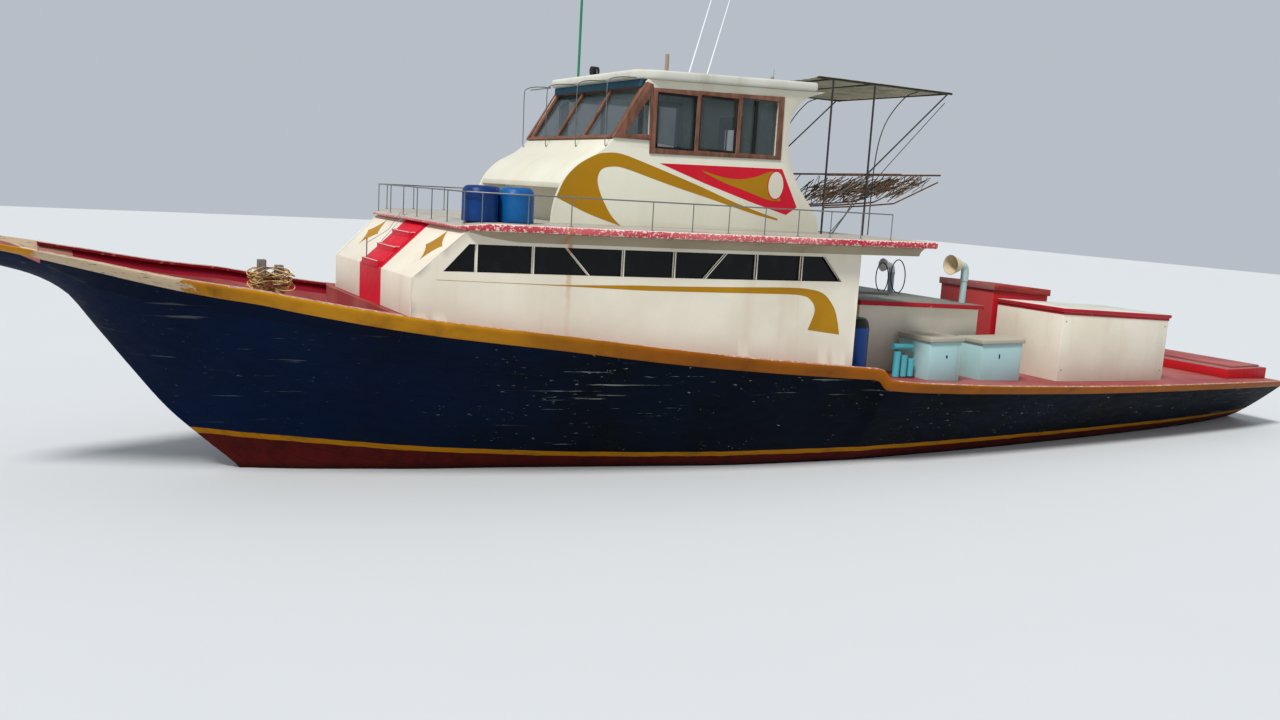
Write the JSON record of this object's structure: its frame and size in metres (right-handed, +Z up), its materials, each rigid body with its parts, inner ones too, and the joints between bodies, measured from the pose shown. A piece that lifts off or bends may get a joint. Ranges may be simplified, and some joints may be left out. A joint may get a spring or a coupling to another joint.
{
  "type": "fishing dhoni",
  "caption": "Decked wooden fishing boat with a raked flat prow, long cabin, wheelhouse on the upper deck and fish boxes aft.",
  "frame": {"origin": "on the waterline plane at the centreline, amidships", "axes": "+X towards the bow, +Y to port, +Z up"},
  "size_m": [26.9, 7.03, 10.36],
  "materials": {
    "black_paint": "satin",
    "blue_plastic": "satin",
    "bronze": "satin",
    "canvas": "woven",
    "cast_iron": "rough",
    "clear_glass": "smooth",
    "cream_paint": "satin",
    "cyan_paint": "satin",
    "dark_glass": "smooth",
    "galvanised_steel": "satin",
    "green_paint": "satin",
    "grey_paint": "matte",
    "maroon_paint": "satin",
    "navy_paint": "satin",
    "ochre_paint": "satin",
    "red_paint": "satin",
    "timber": "varnished"
  },
  "bodies": {
    "boat": {"hull": "navy_paint", "fore_bulwark_port": "maroon_paint", "rubbing_band_port": "ochre_paint", "fore_bulwark_starboard": "maroon_paint", "rubbing_band_starboard": "ochre_paint", "keel": "maroon_paint", "engine_block": "cast_iron", "cabin_side_port": "cream_paint", "cabin_glass_port": "dark_glass", "cabin_side_starboard": "cream_paint", "cabin_glass_starboard": "dark_glass", "cabin_front": "cream_paint", "cabin_brow": "cream_paint", "front_steps": "red_paint", "cabin_aft_wall": "cream_paint", "upper_deck": "grey_paint", "wheelhouse_side_port": "cream_paint", "wheelhouse_glass_port": "clear_glass", "wheelhouse_side_starboard": "cream_paint", "wheelhouse_glass_starboard": "clear_glass", "wheelhouse_front": "cream_paint", "windscreen_frame": "timber", "windscreen_glass": "clear_glass", "wheelhouse_roof": "cream_paint", "wheelhouse_aft_wall": "cream_paint", "helm_console": "timber", "helm_seat": "black_paint", "upper_deck_railing": "galvanised_steel", "drum_fore": "blue_plastic", "drum_mid": "blue_plastic", "drum_inner": "blue_plastic", "bow_bitts": "timber", "fish_box_fore": "cyan_paint", "fish_box_aft": "cyan_paint", "hold_box": "cream_paint", "tank": "red_paint", "engine_casing": "cream_paint", "vent_pipe": "cyan_paint", "deck_barrel": "blue_plastic", "canopy_frame": "galvanised_steel", "canopy_sheet": "canvas", "signal_pole": "green_paint", "lamp_bracket": "galvanised_steel", "stern_well": "red_paint"},
    "propeller": {"propeller": "bronze"},
    "rudder": {"rudder": "cast_iron"},
    "helm_wheel": {"helm_wheel": "timber"},
    "cabin_door": {"cabin_door": "timber"},
    "wheelhouse_door": {"wheelhouse_door": "timber"},
    "fish_box_fore_lid": {"fish_box_fore_lid": "cyan_paint"},
    "fish_box_aft_lid": {"fish_box_aft_lid": "cyan_paint"},
    "hold_box_lid": {"hold_box_lid": "cream_paint"},
    "tank_lid": {"tank_lid": "red_paint"},
    "casing_hatch": {"casing_hatch": "grey_paint"},
    "cowl": {"cowl": "cream_paint"},
    "floodlight": {"floodlight": "black_paint"},
    "stern_well_lid": {"stern_well_lid": "red_paint"}
  },
  "joints": [
    {"name": "propeller_turn", "type": "hinge", "parent": "boat", "child": "propeller", "pos_m": [-8.15, 0, -1.16], "axis": [1, 0, 0], "continuous": true},
    {"name": "rudder_swing", "type": "hinge", "parent": "boat", "child": "rudder", "pos_m": [-9.3, 0, -0.7], "axis": [0, 0, 1], "range_deg": [-35, 35]},
    {"name": "helm_wheel_turn", "type": "hinge", "parent": "boat", "child": "helm_wheel", "pos_m": [5.06, 0, 4.65], "axis": [1, 0, 0], "continuous": true},
    {"name": "cabin_door_swing", "type": "hinge", "parent": "boat", "child": "cabin_door", "pos_m": [1.786, 0.404, 2.7], "axis": [0, 0, -1], "range_deg": [0, 100]},
    {"name": "wheelhouse_door_swing", "type": "hinge", "parent": "boat", "child": "wheelhouse_door", "pos_m": [2.436, 0.384, 4.9], "axis": [0, 0, -1], "range_deg": [0, 100]},
    {"name": "fish_box_fore_lid_lift", "type": "hinge", "parent": "boat", "child": "fish_box_fore_lid", "pos_m": [-0.48, 2.1, 2.1303], "axis": [1, 0, 0], "range_deg": [0, 80]},
    {"name": "fish_box_aft_lid_lift", "type": "hinge", "parent": "boat", "child": "fish_box_aft_lid", "pos_m": [-2.115, 2.1, 2.0403], "axis": [1, 0, 0], "range_deg": [0, 80]},
    {"name": "hold_box_lid_lift", "type": "hinge", "parent": "boat", "child": "hold_box_lid", "pos_m": [-5.265, 1.1, 2.5653], "axis": [0.9989, 0, 0.0464], "range_deg": [0, 75]},
    {"name": "tank_lid_lift", "type": "hinge", "parent": "boat", "child": "tank_lid", "pos_m": [-5.27, 0.26, 2.7476], "axis": [0, -1, 0], "range_deg": [0, 70]},
    {"name": "casing_hatch_lift", "type": "hinge", "parent": "boat", "child": "casing_hatch", "pos_m": [-1.19, 0, 2.7093], "axis": [0, -1, 0], "range_deg": [0, 80]},
    {"name": "cowl_turn", "type": "hinge", "parent": "boat", "child": "cowl", "pos_m": [-2.06, 1.64, 3.19], "axis": [0, 0, 1], "range_deg": [-180, 180]},
    {"name": "floodlight_tilt", "type": "hinge", "parent": "boat", "child": "floodlight", "pos_m": [5.14, -0.35, 6.446], "axis": [0, 1, 0], "range_deg": [-30, 60]},
    {"name": "stern_well_lid_lift", "type": "hinge", "parent": "boat", "child": "stern_well_lid", "pos_m": [-9.8, 0, 1.3103], "axis": [0, 1, 0], "range_deg": [0, 75]}
  ]
}
